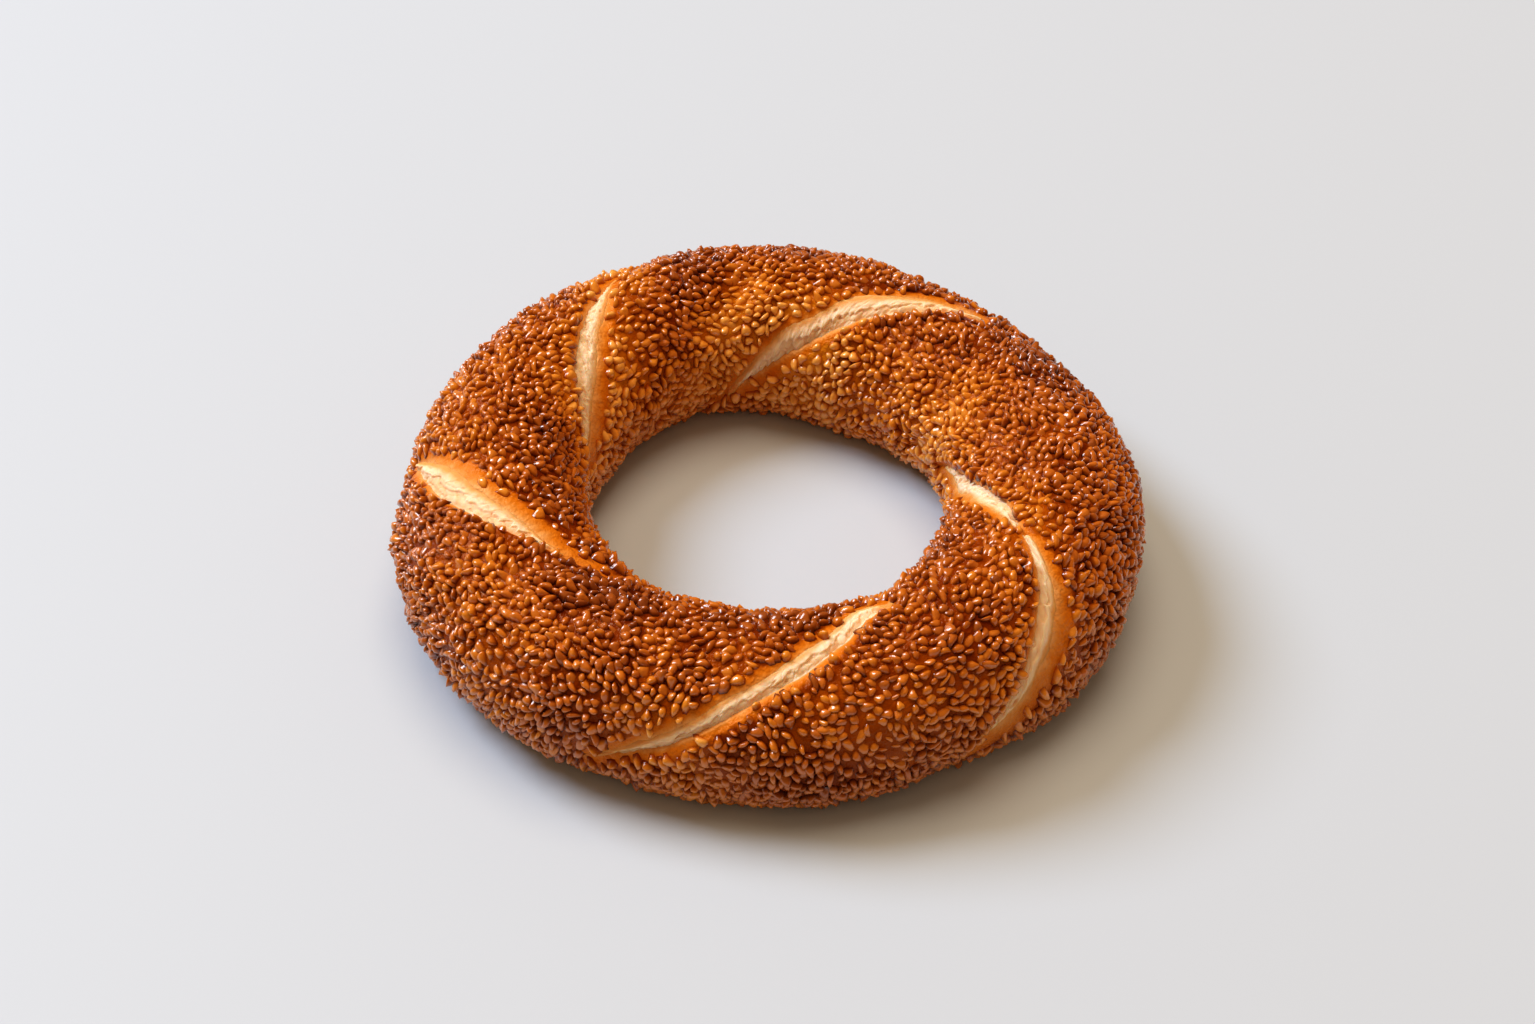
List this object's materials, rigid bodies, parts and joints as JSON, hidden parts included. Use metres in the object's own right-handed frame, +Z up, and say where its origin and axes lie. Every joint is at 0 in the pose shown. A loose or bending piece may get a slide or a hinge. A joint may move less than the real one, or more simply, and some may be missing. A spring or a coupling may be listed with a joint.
{
  "type": "simit",
  "caption": "Ring of bread twisted from ropes of dough, with a browned sesame crust, split along its seams, and a flat base.",
  "frame": {"origin": "centre of the bread's footprint, on the plane it rests on", "axes": "+Z up, out of the ring's plane; +X along the ring's longer side; -Y is the front, where the thickest lobe lies to the right of the middle"},
  "size_m": [0.1696, 0.1612, 0.0396],
  "materials": {
    "crust": "bread crust, molasses-glazed and baked to red brown, paler and more golden beside the splits and in the hole",
    "sesame": "hulled sesame seeds, roasted golden to dark brown, half sunk in the glaze",
    "crumb": "torn white-bread crumb in the splits, cream with golden edges and small pits"
  },
  "bodies": {
    "root": {"simit": "crust"}
  },
  "joints": []
}
